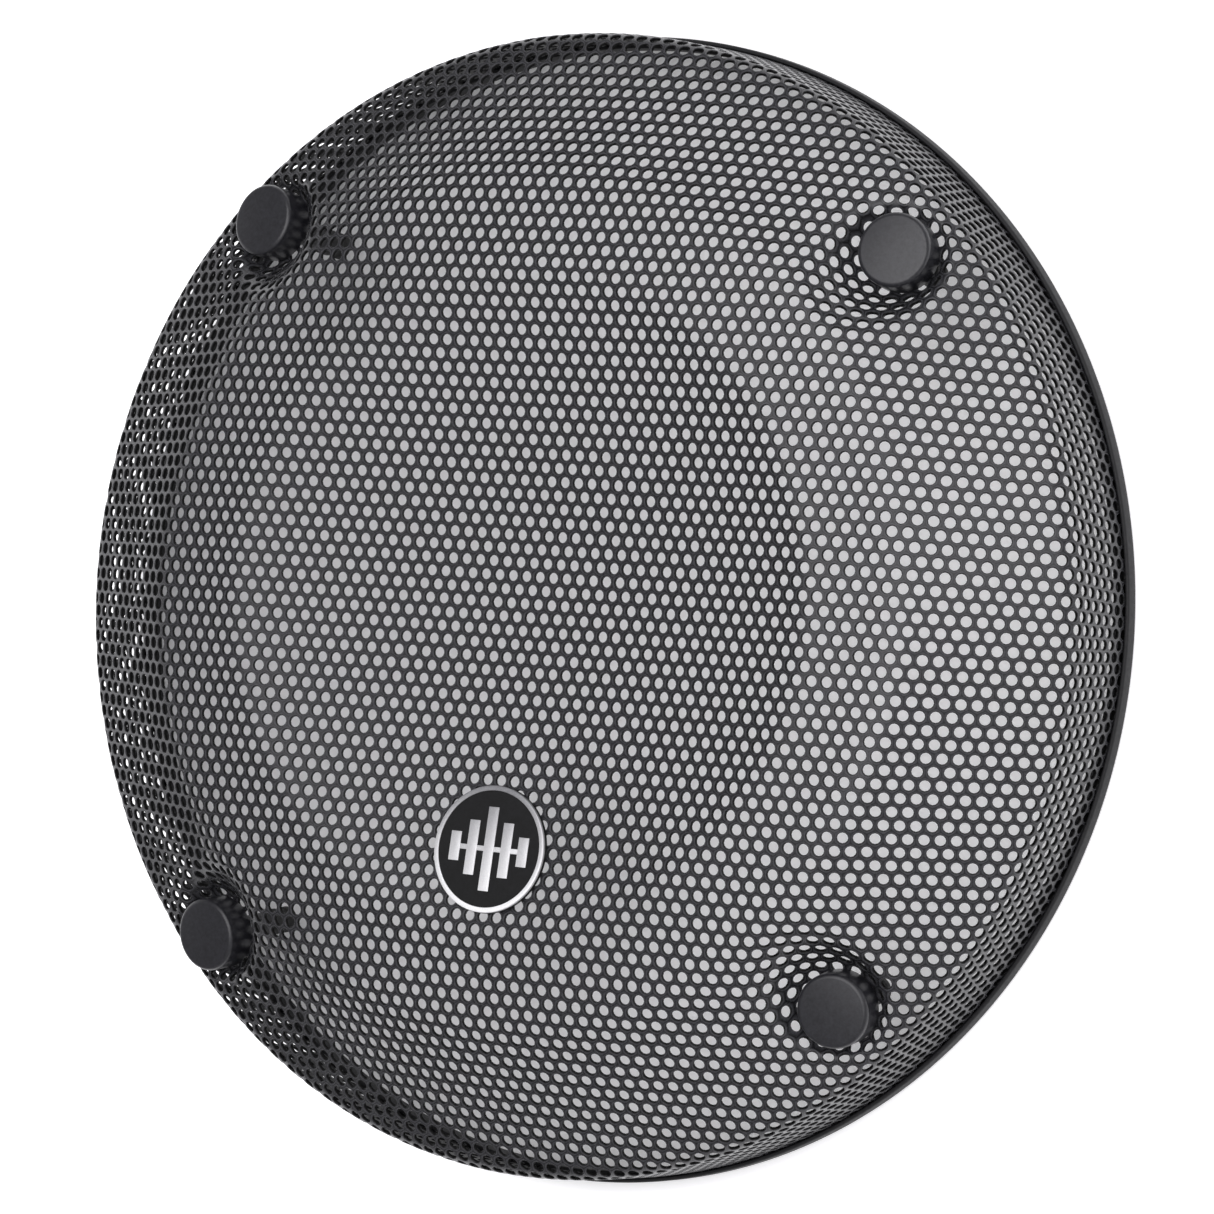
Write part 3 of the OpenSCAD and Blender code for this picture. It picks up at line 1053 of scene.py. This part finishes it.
def painted_floor_glow(tree):
    """Painted light on the floor: a faint glow that is brighter to the right under the grille, and a
    full white outside it that hides the grille's shadow.
    """
    across = coordinate(tree, "Object", "X")
    place = tree.nodes.new("ShaderNodeTexCoord")
    length = tree.nodes.new("ShaderNodeVectorMath")
    length.operation = "LENGTH"
    tree.links.new(place.outputs["Object"], length.inputs[0])
    # Painted light under the grille, brighter towards the right.
    under = spread(tree, across, *FLOOR_GLOW_UNDER, -FLOOR_GLOW_REACH, FLOOR_GLOW_REACH)
    # Painted white outside the grille, which hides its shadow.
    outside = spread(tree, length.outputs["Value"], 0, FLOOR_GLOW_OUTSIDE, *FLOOR_GLOW_EDGE)
    total = tree.nodes.new("ShaderNodeMath")
    total.operation = "ADD"
    tree.links.new(under, total.inputs[0])
    tree.links.new(outside, total.inputs[1])
    return total.outputs["Value"]


def floor_material():
    """A pale, matt, faintly mottled floor that glows a little with painted light."""
    material, tree, shader = new_material("pale_floor")
    colour = ramp(tree, noise(tree, 3, 2), (0.86, 0.86, 0.87), (0.88, 0.88, 0.89))
    tree.links.new(colour, shader.inputs["Base Color"])
    shader.inputs["Roughness"].default_value = 0.9
    shader.inputs["Specular IOR Level"].default_value = 0.1
    shader.inputs["Emission Color"].default_value = (1, 1, 1, 1)
    tree.links.new(painted_floor_glow(tree), shader.inputs["Emission Strength"])
    return material


def studio():
    """A pale floor, soft lights and a white surround."""
    shape = bmesh.new()
    bmesh.ops.create_grid(shape, x_segments=4, y_segments=4, size=FLOOR_SIZE)
    mesh = bpy.data.meshes.new("studio_floor")
    shape.to_mesh(mesh)
    shape.free()
    mesh.materials.append(floor_material())
    floor = in_scene("studio_floor", mesh)

    surround()
    bpy.context.scene.view_settings.view_transform = "Standard"
    softbox("key_light", place=(0.3, 0.4, 2.0), size=2.0, power=37)
    softbox("rim_light", place=(-2.2, 0.1, 0.35), size=1.3, power=5.5)


# ================================================================ the model
camera()
studio()

sheet_coat = coated_sheet_material()
cap_plastic = moulded_material(
    "satin_cap_plastic",
    dark=(0.007, 0.007, 0.009),
    light=(0.017, 0.017, 0.021),
    rough=(0.29, 0.40),
    grain=2400,
    depth=0.03 * MM,
    shine=0.47,
)
post_plastic = moulded_material(
    "post_nylon",
    dark=(0.018, 0.018, 0.020),
    light=(0.028, 0.028, 0.030),
    rough=(0.45, 0.6),
    grain=1500,
    depth=0.03 * MM,
    shine=0.5,
)
trim_rubber = moulded_material(
    "trim_rubber",
    dark=(0.005, 0.005, 0.006),
    light=(0.011, 0.011, 0.012),
    rough=(0.48, 0.62),
    grain=1800,
    depth=0.03 * MM,
    shine=0.3,
)
foot_rubber = moulded_material(
    "foot_rubber",
    dark=(0.022, 0.022, 0.022),
    light=(0.034, 0.034, 0.034),
    rough=(0.6, 0.75),
    grain=1600,
    depth=0.04 * MM,
    shine=0.4,
)
badge_black = moulded_material(
    "badge_black",
    dark=(0.002, 0.002, 0.002),
    light=(0.006, 0.006, 0.007),
    rough=(0.4, 0.6),
    grain=2600,
    depth=0.05 * MM,
    shine=0.22,
)
badge_silver = silver_material()
zinc_steel = brushed_material(
    "zinc_steel",
    dark=(0.42, 0.43, 0.46),
    light=(0.62, 0.63, 0.66),
    rough=(0.28, 0.45),
    stretch=(1800, 1800, 600),
)

perforated_sheet(sheet_coat)
edge_trim(trim_rubber)
for corner, azimuth in CORNERS.items():
    cap(corner, azimuth, cap_plastic)
    lock_nut(corner, azimuth, zinc_steel)
    washer(corner, azimuth, zinc_steel)
    post(corner, azimuth, post_plastic)
    post_foot(corner, azimuth, foot_rubber)
badge(badge_black, badge_silver, zinc_steel)
